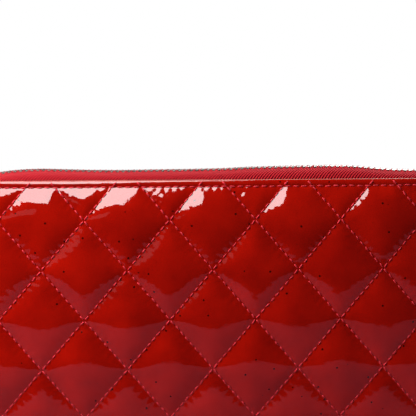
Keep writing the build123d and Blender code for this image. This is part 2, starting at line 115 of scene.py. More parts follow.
def tidy_normals(obj, weld=0.0):
    """Welds close points and turns every face outwards."""
    mesh = bmesh.new()
    mesh.from_mesh(obj.data)
    if weld:
        bmesh.ops.remove_doubles(mesh, verts=mesh.verts[:], dist=weld * MM)
    bmesh.ops.recalc_face_normals(mesh, faces=mesh.faces[:])
    mesh.to_mesh(obj.data)
    mesh.free()
    return obj


def strip_faces(rows, columns, closed=False, start=0):
    """Quads of a grid of rows by columns of points, each row closed into a ring if asked."""
    faces = []
    for r in range(rows - 1):
        for c in range(columns if closed else columns - 1):
            a = start + r * columns + c
            b = start + r * columns + (c + 1) % columns
            faces.append((a, b, b + columns, a + columns))
    return faces


def smoothstep(value, low, high):
    t = np.clip((np.asarray(value, float) - low) / (high - low), 0, 1)
    return t * t * (3 - 2 * t)


def smoothed(values, width):
    """Values blurred over an odd number of samples."""
    kernel = np.hanning(width)
    return np.convolve(np.pad(values, width // 2, mode="edge"), kernel / kernel.sum(), "valid")


def lengths_along(points):
    """Distance of each point from the first, along the line of points."""
    return np.concatenate([[0], np.cumsum(np.linalg.norm(np.diff(points, axis=0), axis=1))])


def line_normals(line):
    """Unit normals of a plane line, on its left."""
    run = np.gradient(line, axis=0)
    run /= np.linalg.norm(run, axis=1)[:, None]
    return np.column_stack([-run[:, 1], run[:, 0]])


def thick_outline(line, offset):
    """Closed outline of a strip about its middle line: one face, then the other one back."""
    return np.vstack([line + offset, (line - offset)[::-1]])


def attach(piece, body, slot, *sources):
    """Fixes a piece to its body and hides the CAD nodes that it stands for. Its slot is not used."""
    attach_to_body(piece, body)
    if sources:
        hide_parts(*sources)


def cover_blend(piece, body, slot, *sources):
    """Bakes a piece's placement into its mesh and hides its CAD nodes. Its slot is not used."""
    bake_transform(piece)
    if sources:
        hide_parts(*sources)


# ------------------------------------------------------------------ material helpers
def material(name):
    """New node material and its tree."""
    mat = bpy.data.materials.new(name)
    mat.use_nodes = True
    return mat, mat.node_tree


def finish(mat, colour, normal=None, **values):
    """Connects a material's colour and bump, and sets its other values."""
    shader = mat.node_tree.nodes["Principled BSDF"]
    mat.node_tree.links.new(colour, shader.inputs["Base Color"])
    if normal is not None:
        mat.node_tree.links.new(normal, shader.inputs["Normal"])
    for key, value in values.items():
        shader.inputs[key.replace("_", " ")].default_value = value
    return mat


def node(tree, kind, **inputs):
    """New node with its settings and the values of its sockets."""
    made = tree.nodes.new(kind)
    for key, value in inputs.items():
        socket = key.replace("_", " ")
        if socket in made.inputs:
            made.inputs[socket].default_value = value
        else:
            setattr(made, key, value)
    return made


def noise(tree, vector, scale, detail=3.0):
    made = node(tree, "ShaderNodeTexNoise", Scale=scale, Detail=detail)
    tree.links.new(vector, made.inputs["Vector"])
    return made.outputs["Fac"]


def ramp(tree, factor, stops):
    """Colour ramp with stops of (place, (r, g, b))."""
    made = tree.nodes.new("ShaderNodeValToRGB")
    tree.links.new(factor, made.inputs["Fac"])
    elements = made.color_ramp.elements
    while len(elements) < len(stops):
        elements.new(0.5)
    for element, (place, colour) in zip(elements, stops):
        element.position = place
        element.color = (*colour, 1)
    return made.outputs["Color"]


def mathnode(tree, operation, a, b=None):
    made = tree.nodes.new("ShaderNodeMath")
    made.operation = operation
    for socket, value in zip(made.inputs, (a, b)):
        if isinstance(value, (int, float)):
            socket.default_value = value
        elif value is not None:
            tree.links.new(value, socket)
    return made.outputs[0]


def weighted_sum(tree, a, weight_a, b, weight_b):
    return mathnode(
        tree, "ADD", mathnode(tree, "MULTIPLY", a, weight_a), mathnode(tree, "MULTIPLY", b, weight_b))


def bump(tree, height, strength, distance, under=None):
    made = node(tree, "ShaderNodeBump", Strength=strength, Distance=distance)
    tree.links.new(height, made.inputs["Height"])
    if under is not None:
        tree.links.new(under, made.inputs["Normal"])
    return made.outputs["Normal"]


def object_coordinates(tree):
    return tree.nodes.new("ShaderNodeTexCoord").outputs["Object"]


def patent_leather():
    """Deep red patent: satin leather under a thick clear coat, with a few dark specks."""
    mat, tree = material("red_patent_leather")
    place = object_coordinates(tree)
    tone = ramp(
        tree, noise(tree, place, 90.0, 4.0), [(0.3, (0.245, 0.0020, 0.0003)), (0.7, (0.345, 0.0036, 0.0005))],
    )
    cells = node(tree, "ShaderNodeTexVoronoi", Scale=200.0)
    tree.links.new(place, cells.inputs["Vector"])
    specks = ramp(tree, cells.outputs["Distance"], [(0.065, (0.12, 0.12, 0.12)), (0.09, (1, 1, 1))])
    mix = node(tree, "ShaderNodeMix", data_type="RGBA", blend_type="MULTIPLY", Factor=1.0)
    tree.links.new(tone, mix.inputs["A"])
    tree.links.new(specks, mix.inputs["B"])
    grain = bump(tree, noise(tree, place, 900.0, 2.0), 0.12, 0.0001)
    ripple = bump(tree, noise(tree, place, 160.0, 2.0), 0.25, 0.0004, grain)
    tree.links.new(ripple, tree.nodes["Principled BSDF"].inputs["Coat Normal"])
    return finish(
        mat, mix.outputs["Result"], ripple, Roughness=0.5, Specular_IOR_Level=0.0,
        Coat_Weight=1.0, Coat_Roughness=0.04, Coat_IOR=1.6,
    )


def twill(name, dark, light, pitch):
    """Woven twill with diagonal ribs. The mesh's UV map is in metres along and across the tape."""
    mat, tree = material(name)
    split = tree.nodes.new("ShaderNodeSeparateXYZ")
    tree.links.new(tree.nodes.new("ShaderNodeUVMap").outputs["UV"], split.inputs[0])
    along, across = split.outputs[0], split.outputs[1]
    turns = 2 * math.pi / (pitch * MM)
    lean = mathnode(tree, "ADD", along, mathnode(tree, "MULTIPLY", across, 0.7))
    rib = mathnode(tree, "SINE", mathnode(tree, "MULTIPLY", lean, turns))
    cross = mathnode(tree, "SINE", mathnode(tree, "MULTIPLY", across, turns * 1.6))
    level = mathnode(tree, "ADD", weighted_sum(tree, rib, 0.5, cross, 0.08), 0.5)
    fuzz = noise(tree, object_coordinates(tree), 1500.0)
    weave_shade = weighted_sum(tree, level, 0.8, fuzz, 0.2)
    # The colour ramp darkens the grooves between the ribs: the dark stripes are painted shade, not a darker
    # yarn.
    return finish(
        mat, ramp(tree, weave_shade, [(0.2, dark), (0.8, light)]), bump(tree, weave_shade, 0.7, 0.00025),
        Roughness=0.8, Specular_IOR_Level=0.0, Sheen_Weight=0.04, Sheen_Roughness=0.4,
    )


def two_tone(name, dark, light, scale, rough, grain=None, strength=0.35, depth=0.0001, **values):
    """Two-tone noise colour with a fine bump: paint, thread, calf, cloth, board, foam or plated metal."""
    mat, tree = material(name)
    place = object_coordinates(tree)
    tone = ramp(tree, noise(tree, place, scale), [(0.3, dark), (0.7, light)])
    relief = bump(tree, noise(tree, place, grain or 2.5 * scale), strength, depth)
    return finish(mat, tone, relief, Roughness=rough, **values)


PATENT = patent_leather()
EDGE = two_tone("cut_edge_paint", (0.22, 0.06, 0.045), (0.42, 0.12, 0.09), 700.0, 0.55, 1500.0, 0.4)
THREAD = two_tone(
    "quilting_thread", (0.36, 0.012, 0.020), (0.58, 0.028, 0.042), 1800.0, 0.5, 4000.0, 0.4,
    Specular_IOR_Level=0.1, Sheen_Weight=0.02,
)
# Zip tape twill: its darker rib stripes are painted shade in the grooves, over the bump's relief.
TAPE_CLOTH = twill("zip_tape_twill", (0.06, 0.001, 0.002), (0.44, 0.016, 0.024), 1.05)
CALF = two_tone("inner_calf", (0.17, 0.005, 0.006), (0.24, 0.008, 0.009), 900.0, 0.5, depth=0.00015)
LINING = two_tone("lining_cloth", (0.13, 0.004, 0.007), (0.21, 0.007, 0.012), 2600.0, 0.85)
FOAM = two_tone("foam_wadding", (0.7, 0.67, 0.6), (0.85, 0.83, 0.78), 1500.0, 0.9)
BOARD = two_tone("fibre_board", (0.42, 0.33, 0.23), (0.6, 0.5, 0.38), 700.0, 0.85)
TOOTH_METAL = two_tone(
    "tooth_nickel", (0.30, 0.31, 0.28), (0.46, 0.46, 0.43), 1200.0, 0.32, depth=0.00005, Metallic=1.0)
SLIDER_METAL = two_tone(
    "polished_nickel", (0.62, 0.62, 0.60), (0.72, 0.72, 0.70), 500.0, 0.14, depth=0.00002, Metallic=1.0)

SLOT_MATERIALS = {
    "outer_leather": PATENT,
    "inner_leather": CALF,
    "lining": LINING,
    "foam": FOAM,
    "stiffener": BOARD,
    "zip_tape": CALF,
    "zip_metal": TOOTH_METAL,
    "slider_metal": SLIDER_METAL,
}
for row in frame["record"]["subparts"]:
    mesh = frame["nodes"][row["node"]].data
    mesh.materials.clear()
    mesh.materials.append(SLOT_MATERIALS[row["material_slot"]])


# ------------------------------------------------------------------ outer shape of the covers
SIDE_POWER = 4.5  # how late the face curves back towards its two ends
KNUCKLE = (2.0, 16.0)  # heights between which the pillows grow out of the flat spine
PROFILE_V = np.linspace(SHEET_FOOT, TOP, 1200)
PROFILE_BLUR = 61
# Lean of the front's outside, as (height, radians): flat under the spine, then nearly upright, then back in.
PROFILE_LEAN = [
    (SHEET_FOOT, QUARTER), (-4, QUARTER), (7, 0.19), (17, 0.12), (34, 0.06), (51, 0.01), (80, -0.02),
    (88, -0.06), (92, -0.16), (95, -0.24), (97.5, -0.27), (TOP, -0.27),
]


def build_profile():
    """Seam-level line of the front, from under the spine up to the top edge: y, z, tilt."""
    tilt = smoothed(np.interp(PROFILE_V, *zip(*PROFILE_LEAN)), PROFILE_BLUR)
    step = PROFILE_V[1] - PROFILE_V[0]
    y = -np.cumsum(np.sin(tilt)) * step
    z = np.cumsum(np.cos(tilt)) * step
    return y - (y[-1] + RIM_LEVEL), z * TOP / z[-1], tilt


PROFILE_Y, PROFILE_Z, PROFILE_TILT = build_profile()


def place_sheet(x, v, height):
    """Points on the front for sheet places (x, v) and heights above seam level."""
    y = np.interp(v, PROFILE_V, PROFILE_Y)
    z = np.interp(v, PROFILE_V, PROFILE_Z)
    tilt = np.interp(v, PROFILE_V, PROFILE_TILT)
    bulge = np.clip(-y - RIM_LEVEL, 0, None)
    y = y + bulge * np.clip(np.abs(x) / HALF, 0, 1) ** SIDE_POWER
    height = height - PUFF * (1 - smoothstep(v, *KNUCKLE))
    y = y - np.cos(tilt) * height
    z = z - np.sin(tilt) * height
    return np.column_stack([x, y, z])


# ------------------------------------------------------------------ quilted sheet
PILLOW_POWER = 0.62
EDGE_SHOULDER = 7.0  # distance over which the pillows rise from the edge seam
CORNER_CUTS = 22


def lattice_coordinates(x, v):
    """Diamond-lattice coordinates: a seam runs wherever either is a whole number."""
    across = (x - DIAMOND_W / 2) / DIAMOND_W
    up = (v - QUILT_ROW) / DIAMOND_H
    return up + across, up - across


def lattice_place(a, b):
    """Sheet place of the lattice coordinates a and b."""
    return DIAMOND_W / 2 + (a - b) * DIAMOND_W / 2, QUILT_ROW + (a + b) * DIAMOND_H / 2


def edge_inset(x, v):
    """Distance in from the leather's cut edge."""
    inset = np.minimum(HALF - np.abs(x), TOP - v)
    over_x, over_v = np.abs(x) - CORNER_X, v - CORNER_Z
    round_inset = CORNER - np.hypot(np.clip(over_x, 0, None), np.clip(over_v, 0, None))
    return np.where((over_x > 0) & (over_v > 0), round_inset, inset)


def flat_sheet():
    """Flat quilting sheet cut to the edge seam, as a bmesh in (x, v) millimetres."""
    steps = np.arange(2 * LATTICE_REACH * CELLS + 1) / CELLS - LATTICE_REACH
    a, b = np.meshgrid(steps, steps, indexing="ij")
    x, v = lattice_place(a, b)
    keep = (np.abs(x) < HALF + 1) & (v < TOP + 1) & (v > SHEET_FOOT - 2)
    index = -np.ones(a.shape, int)
    index[keep] = np.arange(keep.sum())
    corners = np.stack([index[:-1, :-1], index[1:, :-1], index[1:, 1:], index[:-1, 1:]], -1).reshape(-1, 4)
    corners = corners[(corners >= 0).all(1)]
    mesh = bpy.data.meshes.new("flat")
    points = np.column_stack([x[keep], v[keep], np.zeros(keep.sum())])
    mesh.from_pydata(points.tolist(), [], corners.tolist())
    sheet = bmesh.new()
    sheet.from_mesh(mesh)
    bpy.data.meshes.remove(mesh)

    def cut(parts, point, normal):
        bmesh.ops.bisect_plane(
            sheet, geom=parts, dist=1e-5, plane_co=point, plane_no=normal, clear_outer=True,
        )

    half, top, radius = HALF - SEAM_INSET, TOP - SEAM_INSET, CORNER - SEAM_INSET
    for point, normal in (
        ((half, 0), (1, 0)), ((-half, 0), (-1, 0)), ((0, top), (0, 1)), ((0, SHEET_FOOT), (0, -1)),
    ):
        cut(sheet.verts[:] + sheet.edges[:] + sheet.faces[:], (*point, 0), (*normal, 0))
    for side in (1, -1):
        centre = Vector((side * (half - radius), top - radius, 0))
        for turn in range(1, CORNER_CUTS):
            angle = turn * QUARTER / CORNER_CUTS
            normal = Vector((side * math.cos(angle), math.sin(angle), 0))
            near = [f for f in sheet.faces if side * f.calc_center_median().x > side * centre.x - 2
                    and f.calc_center_median().y > centre.y - 2]
            edges = {e for f in near for e in f.edges}
            verts = {w for f in near for w in f.verts}
            cut(list(verts) + list(edges) + near, centre + normal * radius, normal)
    bmesh.ops.remove_doubles(sheet, verts=sheet.verts[:], dist=0.02)
    sheet.verts.index_update()
    return sheet


def seam_masks(x, v):
    """Which sheet points lie on a seam, and which of those are needle holes."""
    a, b = lattice_coordinates(x, v)
    on_a = np.abs(a - np.round(a)) < 1e-3
    on_b = np.abs(b - np.round(b)) < 1e-3
    along = np.where(on_a, b, a) * STITCHES
    hole = (on_a | on_b) & (np.abs(along - np.round(along)) < 0.02)
    return on_a | on_b, hole


def simple_puff(x, v):
    """Smooth pillow heights with no simulation."""
    a, b = lattice_coordinates(x, v)
    dome = np.abs(np.sin(np.pi * a) * np.sin(np.pi * b)) ** PILLOW_POWER
    inset = np.clip((edge_inset(x, v) - SEAM_INSET) / EDGE_SHOULDER, 0, 1)
    return PUFF * dome * np.sin(inset * QUARTER) ** 0.8


SIM_SCALE = 0.1  # simulation units to a millimetre
SIM_FRAMES = 18
START_DOME, START_ROUGHNESS, HOLE_DEPTH = 0.10, 0.01, 0.03  # shape of the sheet before it swells
CLOTH_SETTINGS = {
    "quality": 5, "mass": 0.12, "tension_stiffness": 12, "compression_stiffness": 12, "shear_stiffness": 8,
    "bending_stiffness": 1.2, "tension_damping": 8, "compression_damping": 8, "shear_damping": 8,
    "air_damping": 3, "use_pressure": True, "uniform_pressure_force": 3.0, "vertex_group_pressure": "swell",
    "vertex_group_mass": "pins", "shrink_min": -0.02,
}


def simulated_puff(sheet, x, v):
    """Pillows blown up by the cloth simulation, held down along every seam: where each point ends."""
    seam, hole = seam_masks(x, v)
    held = seam | np.array([w.is_boundary for w in sheet.verts])
    rest = START_DOME * (simple_puff(x, v) / PUFF) + RANDOM.normal(0, START_ROUGHNESS, len(x))
    rest[held] = 0
    rest[hole] = -HOLE_DEPTH
    faces = [[w.index for w in f.verts] for f in sheet.faces]
    pad = new_mesh("pad", np.column_stack([x, v, rest]) * SIM_SCALE / MM, faces, [])
    pad.vertex_groups.new(name="pins").add(np.flatnonzero(held).tolist(), 1.0, "REPLACE")
    swell = pad.vertex_groups.new(name="swell")
    a, b = lattice_coordinates(x, v)
    diamond = (np.floor(a) * 97 + np.floor(b) * 31).astype(int)  # a number of its own for each diamond
    for key in np.unique(diamond):
        swell.add(np.flatnonzero(diamond == key).tolist(), float(RANDOM.uniform(0.72, 1.0)), "REPLACE")
    cloth = pad.modifiers.new("cloth", "CLOTH")
    for key, value in CLOTH_SETTINGS.items():
        setattr(cloth.settings, key, value)
    cloth.settings.effector_weights.gravity = 0
    cloth.collision_settings.use_collision = False
    cloth.point_cache.frame_start = 1
    cloth.point_cache.frame_end = SIM_FRAMES
    for frame_number in range(1, SIM_FRAMES + 1):
        bpy.context.scene.frame_set(frame_number)
    done = pad.evaluated_get(bpy.context.evaluated_depsgraph_get()).data
    moved = np.empty(len(x) * 3)
    done.vertices.foreach_get("co", moved)
    bpy.context.scene.frame_set(1)
    bpy.data.objects.remove(pad)
    return moved.reshape(-1, 3) / SIM_SCALE


EDGE_PITCH = 2.8
EDGE_FILL, QUILT_FILL = 0.78, 0.76  # share of the pitch that a stitch covers
PUCKER_HEIGHT, PUCKER_SIZE, PUCKER_INSET = 0.09, 0.75, 0.8
SHIFT_LIMIT = 0.8  # furthest that the simulation may move a point within the sheet


def edge_stitches():
    """Stitches of the seam round the edge, from one foot to the other."""
    half, top, radius = HALF - SEAM_INSET, TOP - SEAM_INSET, CORNER - SEAM_INSET
    side, bend = top - radius - SHEET_FOOT, radius * QUARTER
    total = 2 * side + 2 * bend + 2 * (half - radius)
    count = round(total / EDGE_PITCH)
    found = []
    for k in range(count):
        s = (k + 0.5) * total / count
        mirrored = s > total / 2
        s = total - s if mirrored else s
        if s < side:
            spot, along = (half, SHEET_FOOT + s), (0, 1)
        elif s < side + bend:
            angle = (s - side) / radius
            spot = (half - radius + radius * math.cos(angle), top - radius + radius * math.sin(angle))
            along = (-math.sin(angle), math.cos(angle))
        else:
            spot, along = (half - radius - (s - side - bend), top), (-1, 0)
        flip = -1 if mirrored else 1
        found.append((flip * spot[0], spot[1], flip * along[0], along[1], EDGE_PITCH * EDGE_FILL))
    return np.array(found)


def edge_puckers(x, v):
    """Small swells between the needle holes just inside the edge seam."""
    table = edge_stitches()
    inset = edge_inset(x, v) - SEAM_INSET
    near = np.flatnonzero((inset > 0.05) & (inset < 3.5))
    gap = np.hypot(x[near, None] - table[None, :, 0], v[near, None] - table[None, :, 1])
    beside = np.sqrt(np.clip(gap.min(1) ** 2 - inset[near] ** 2, 0, None))
    along, across = beside / PUCKER_SIZE, (inset[near] - PUCKER_INSET) / PUCKER_SIZE
    lift = np.zeros(len(x))
    lift[near] = PUCKER_HEIGHT * np.exp(-along ** 2) * np.exp(-across ** 2)
    return lift


def sheet_heights(sheet):
    """Places and heights of every sheet point, from the cloth simulation."""
    co = np.array([w.co for w in sheet.verts])
    x, v = co[:, 0], co[:, 1]
    moved = simulated_puff(sheet, x, v)
    x2 = x + np.clip(moved[:, 0] - x, -SHIFT_LIMIT, SHIFT_LIMIT)
    v2 = v + np.clip(moved[:, 1] - v, -SHIFT_LIMIT, SHIFT_LIMIT)
    return x2, v2, moved[:, 2] * PUFF / np.percentile(moved[:, 2], 99) + edge_puckers(x, v)


def boundary_chain(sheet):
    """Ordered points of the sheet's rim, from the left foot, over the top, to the right foot."""
    def on_outline(w):
        return w.co.y > SHEET_FOOT + 1e-3 or abs(abs(w.co.x) - (HALF - SEAM_INSET)) < 1e-3

    def order(w):
        x, v = w.co.x, w.co.y
        if v <= CORNER_Z:
            return (0, v) if x < 0 else (4, -v)
        if abs(x) <= CORNER_X:
            return 2, x
        angle = math.atan2(v - CORNER_Z, abs(x) - CORNER_X)
        return (1, angle) if x < 0 else (3, -angle)

    return sorted([w for w in sheet.verts if w.is_boundary and on_outline(w)], key=order)


# The edge strip outside its seam, the cut edge, and the turned-in back: outward step, height, material.
RIM_RINGS = [
    (0.35, 0.18, 0), (0.7, 0.33, 0), (1.0, 0.385, 0), (1.3, 0.405, 0), (1.7, 0.405, 0), (2.05, 0.35, 0),
    (2.24, 0.24, 0), (2.37, 0.13, 1), (2.47, -0.02, 1), (2.5, -0.12, 1), (2.5, -0.40, 1), (2.5, -0.68, 1),
    (2.42, -0.75, 0), (1.0, -0.75, 0), (-3.5, -0.75, 0),
]
FACE_RINGS = 9  # how many of the rings lie on the outside, where threads can run


def outline_frame(points):
    """Outward direction of the leather's outline at points (x, v) near it."""
    outward = np.zeros_like(points)
    for i, (x, v) in enumerate(points):
        if v <= CORNER_Z:
            outward[i] = (math.copysign(1, x), 0)
        elif abs(x) <= CORNER_X:
            outward[i] = (0, 1)
        else:
            ray = np.array([x - math.copysign(CORNER_X, x), v - CORNER_Z])
            outward[i] = ray / np.linalg.norm(ray)
    return outward


def quilted_shell(name, body, side, sheet, x, v, height, *sources):
    """One cover's quilted skin and its half of the spine."""
    faces = [[w.index for w in f.verts] for f in sheet.faces]
    paint = [0] * len(faces)
    chain = boundary_chain(sheet)
    outline = np.array([[w.co.x, w.co.y] for w in chain])
    outward = outline_frame(outline)
    points_x, points_v, points_h = [x], [v], [height]
    previous = [w.index for w in chain]
    for ring, (step, rise, painted) in enumerate(RIM_RINGS):
        place = outline + outward * step
        points_x.append(place[:, 0])
        points_v.append(np.maximum(place[:, 1], SHEET_FOOT))
        points_h.append(np.full(len(place), rise))
        current = [len(x) + ring * len(chain) + i for i in range(len(chain))]
        for i in range(len(chain) - 1):
            faces.append([previous[i], current[i], current[i + 1], previous[i + 1]])
            paint.append(painted)
        previous = current
    points = place_sheet(np.concatenate(points_x), np.concatenate(points_v), np.concatenate(points_h))
    points[:, 1] *= side
    obj = new_mesh(name, points, faces, [PATENT, EDGE], indices=paint)
    shell = bmesh.new()
    shell.from_mesh(obj.data)
    bmesh.ops.recalc_face_normals(shell, faces=shell.faces)
    middle = max(shell.faces, key=lambda f: -side * f.calc_center_median().y)
    if middle.normal.y * side > 0:
        bmesh.ops.reverse_faces(shell, faces=shell.faces)
    shell.to_mesh(obj.data)
    shell.free()
    cover_blend(obj, body, "outer_leather", *sources)


sheet = flat_sheet()
sheet_points = sheet_heights(sheet)
quilted_shell("front_shell", FRONT, 1, sheet, *sheet_points,
              "front_cover_leather", "spine_leather", "front_cover_padding", "spine_padding")
quilted_shell("back_shell", BACK, -1, sheet, *sheet_points, "back_cover_leather", "back_cover_padding")


# ------------------------------------------------------------------ threads
THREAD_RADIUS = 0.26
STITCH_ALONG = np.array([-0.5, -0.44, -0.25, 0.0, 0.25, 0.44, 0.5])
STITCH_RISE = np.array([-0.3, -0.06, 0.09, 0.13, 0.09, -0.06, -0.3])
STITCH_WIDTH = np.array([0.35, 0.8, 1.0, 1.0, 1.0, 0.8, 0.35])
STITCH_SIDES = 6
STITCH_ANGLES = np.arange(STITCH_SIDES) * 2 * math.pi / STITCH_SIDES
STITCH_JITTER = 0.05


def stitch_faces(count):
    """Faces of a number of stitches, each a closed tube of rings."""
    rings, sides = len(STITCH_ALONG), STITCH_SIDES
    one = strip_faces(rings, sides, closed=True)
    one += [tuple(range(sides))[::-1], tuple((rings - 1) * sides + k for k in range(sides))]
    return [tuple(i * rings * sides + c for c in face) for i in range(count) for face in one]


def seam_height(x, v):
    """Height of the leather under a thread: level along the quilting, and rising over the edge strip."""
    steps, rises, _ = zip((0, 0, 0), *RIM_RINGS[:FACE_RINGS])
    return np.interp(SEAM_INSET - edge_inset(x, v), steps, rises)


def stitch_line(start, end, count):
    """Stitches between two sheet places, as (middle x, middle v, along x, along v, length)."""
    start, end = np.array(start, float), np.array(end, float)
    run = end - start
    pitch = np.linalg.norm(run) / count
    along = run / np.linalg.norm(run)
    middles = start + np.outer((np.arange(count) + 0.5) / count, run)
    return [(m[0], m[1], along[0], along[1], pitch * QUILT_FILL) for m in middles]


def quilting_stitches():
    """Every stitch of the diagonal seams, out to the cut edge."""
    found = []
    lines = range(-LATTICE_REACH, LATTICE_REACH + 1)
    for lean in (1, -1):
        for line in lines:
            for cell in lines:
                x, v = lattice_place(cell, line)
                found += stitch_line((x, v), (x + lean * DIAMOND_W / 2, v + DIAMOND_H / 2), STITCHES)
    table = np.array(found)
    x, v = table[:, 0], table[:, 1]
    inset = edge_inset(x, v)
    on_leather = (inset > 0.9) & (v > SHEET_FOOT + 1) & (np.abs(x) < HALF - 0.5)
    return table[on_leather & (np.abs(inset - SEAM_INSET) > 0.5)]


def thread_piece(name, body, side, table):
    """Mesh of separate short stitches lying in a cover's seams."""
    n, rings = len(table), len(STITCH_ALONG)
    jitter = RANDOM.normal(0, STITCH_JITTER, (n, 2))[:, 0]
    lean = RANDOM.normal(0, STITCH_JITTER, n)
    x = np.empty((n, rings, STITCH_SIDES))
    v, h = np.empty_like(x), np.empty_like(x)
    across_x, across_v = -table[:, 3], table[:, 2]
    for r in range(rings):
        along = STITCH_ALONG[r] * table[:, 4]
        mid_x = table[:, 0] + table[:, 2] * along + across_x * (jitter + lean * along)
        mid_v = table[:, 1] + table[:, 3] * along + across_v * (jitter + lean * along)
        level = seam_height(mid_x, mid_v) + STITCH_RISE[r]
        radius = THREAD_RADIUS * STITCH_WIDTH[r]
        for k, angle in enumerate(STITCH_ANGLES):
            x[:, r, k] = mid_x + across_x * radius * math.cos(angle)
            v[:, r, k] = mid_v + across_v * radius * math.cos(angle)
            h[:, r, k] = level + radius * math.sin(angle)
    points = place_sheet(x.ravel(), v.ravel(), h.ravel())
    points[:, 1] *= side
    piece = tidy_normals(new_mesh(name, points, stitch_faces(n), [THREAD]))
    cover_blend(piece, body, "outer_leather")


def stitch_mesh(name, body, slot, spots, radius):
    """Short thread stitches anywhere. Each spot is a middle, a direction, an outward normal and a length."""
    middle, along, normal, length = (np.array(part, float) for part in zip(*spots))
    across = np.cross(normal, along)
    across /= np.linalg.norm(across, axis=1)[:, None]
    n, rings = len(middle), len(STITCH_ALONG)
    sideways = RANDOM.normal(0, 0.04, n)[:, None] * across
    points = np.empty((n, rings, STITCH_SIDES, 3))
    for r in range(rings):
        centre = middle + sideways + along * (STITCH_ALONG[r] * length)[:, None]
        centre = centre + normal * STITCH_RISE[r] * radius / THREAD_RADIUS
        for k, angle in enumerate(STITCH_ANGLES):
            out = math.cos(angle) * across + math.sin(angle) * normal
            points[:, r, k] = centre + radius * STITCH_WIDTH[r] * out
    attach(tidy_normals(new_mesh(name, points.reshape(-1, 3), stitch_faces(n), [THREAD])), body, slot)


def seam_spots(points, normal, pitch=2.6, fill=0.8):
    """Stitches spaced along a line of points."""
    points = np.array(points, float)
    reach = lengths_along(points)
    count = max(1, round(reach[-1] / pitch))
    pitch = reach[-1] / count
    spots = []
    for k in range(count):
        ends = [np.array([np.interp(s * pitch, reach, points[:, c]) for c in range(3)])
                for s in (k + 0.5 - fill / 2, k + 0.5 + fill / 2)]
        run = ends[1] - ends[0]
        length = np.linalg.norm(run)
        spots.append(((ends[0] + ends[1]) / 2, run / length, normal, length))
    return spots


stitches = np.vstack([quilting_stitches(), edge_stitches()])
for prefix, body, side in COVERS:
    thread_piece(prefix + "_quilting_thread", body, side, stitches)


# ------------------------------------------------------------------ main zip
TOOTH_PITCH = 2.0
TOOTH_START = 19.6  # height at the foot from which the teeth are counted
RIGHT_TEETH_FOOT = 34.0
TAPE = 0.6
TAPE_EDGE, TAPE_FLAT = -tape_high[1], 3.6
TAPE_SEWN = -tape_low[1] - TAPE / 2
TAPE_FOOT = tape_low[2]
TAPE_STEP = 0.4
TAPE_PUCKER, LOW_PUCKER = 0.6, 0.42  # swell between the teeth, and its share where the slider runs
TAPE_RIPPLE = 0.25

# The chain's path: up the right side, round the corner, along the top and down again.
CHAIN_RISE = tape_high[0] - HALF - 0.3
CHAIN_RADIUS = CORNER + CHAIN_RISE
CHAIN_SIDE = CORNER_Z - TAPE_FOOT
CHAIN_BEND = CHAIN_RADIUS * QUARTER
CHAIN_HALF = CHAIN_SIDE + CHAIN_BEND + CORNER_X
CHAIN_LENGTH = 2 * CHAIN_HALF

# Lift of the chain along the top, as (place along the wallet, lift).
TOP_WAVE = np.array([
    (-76, -1.6), (-70, -0.85), (-65, -0.48), (-59, -0.35), (-53, -0.55), (-42, -0.9), (-30, -1.0),
    (-20, -0.88), (-8, -0.83), (4, -0.62), (15, -0.15), (26, 0.05), (43, 0.25), (49, 0.12), (55, -0.3),
    (60, -0.9), (66, -1.3), (72, -1.5), (75, -1.5),
])


def chain_frame(distance):
    """Place on the chain's path and outward direction, counted from the right foot of the tape."""
    left = distance > CHAIN_HALF
    run = np.where(left, CHAIN_LENGTH - distance, distance)
    angle = np.clip((run - CHAIN_SIDE) / CHAIN_RADIUS, 0, QUARTER)
    x = CORNER_X + CHAIN_RADIUS * np.cos(angle) - np.clip(run - CHAIN_SIDE - CHAIN_BEND, 0, None)
    z = np.where(run < CHAIN_SIDE, TAPE_FOOT + run, CORNER_Z + CHAIN_RADIUS * np.sin(angle))
    mirror = np.where(left, -1, 1)
    return mirror * x, z, mirror * np.cos(angle), np.sin(angle)


def chain_distance(x, z):
    """Distance along the chain's path of the points nearest (x, z), and their outward directions."""
    over_x, over_z = np.clip(np.abs(x) - CORNER_X, 0, None), np.clip(z - CORNER_Z, 0, None)
    bent = np.arctan2(over_z, np.maximum(over_x, 1e-9))
    angle = np.where((over_x > 0) & (over_z > 0), bent, np.where(over_x > 0, 0.0, QUARTER))
    past_bend = np.clip(CORNER_X - np.abs(x), 0, CORNER_X) * (over_x <= 0)
    run = np.where(over_z <= 0, z - TAPE_FOOT, CHAIN_SIDE + CHAIN_RADIUS * angle + past_bend)
    return np.where(x < 0, CHAIN_LENGTH - run, run), np.sign(x) * np.cos(angle), np.sin(angle)


def tape_wave(distance):
    """Lift of the chain along its run: none where the slider runs, and low at the corners."""
    left_top = CHAIN_LENGTH - CHAIN_SIDE
    knots = [
        (0, 0), (CHAIN_SIDE + 2, 0), (CHAIN_SIDE + 0.6 * CHAIN_BEND, -1.1),
        *((CHAIN_HALF - x, lift) for x, lift in TOP_WAVE[::-1]),
        (left_top - 0.5 * CHAIN_BEND, -1.6), (left_top + 4, -1.0), (left_top + 24, 0.15),
        (CHAIN_LENGTH - 24, -0.25), (CHAIN_LENGTH - 6, 0), (CHAIN_LENGTH, 0),
    ]
    fine = np.linspace(0, CHAIN_LENGTH, 2000)
    curve = smoothed(np.interp(fine, *zip(*knots)), 33)
    curve *= smoothstep(fine, CHAIN_SIDE, CHAIN_SIDE + 4)
    return np.interp(distance, fine, curve)


def waved_teeth(name, source, body):
    """The teeth of the chain, lifted with the tape."""
    mesh = frame["nodes"][source].data.copy()
    points = np.empty(len(mesh.vertices) * 3)
    mesh.vertices.foreach_get("co", points)
    points = points.reshape(-1, 3)
    distance, out_x, out_z = chain_distance(points[:, 0] / MM, points[:, 2] / MM)
    lift = tape_wave(distance) * MM
    points[:, 0] += lift * out_x
    points[:, 2] += lift * out_z
    mesh.vertices.foreach_set("co", points.ravel())
    mesh.update()
    attach(new_object(name, mesh), body, "zip_metal", source)


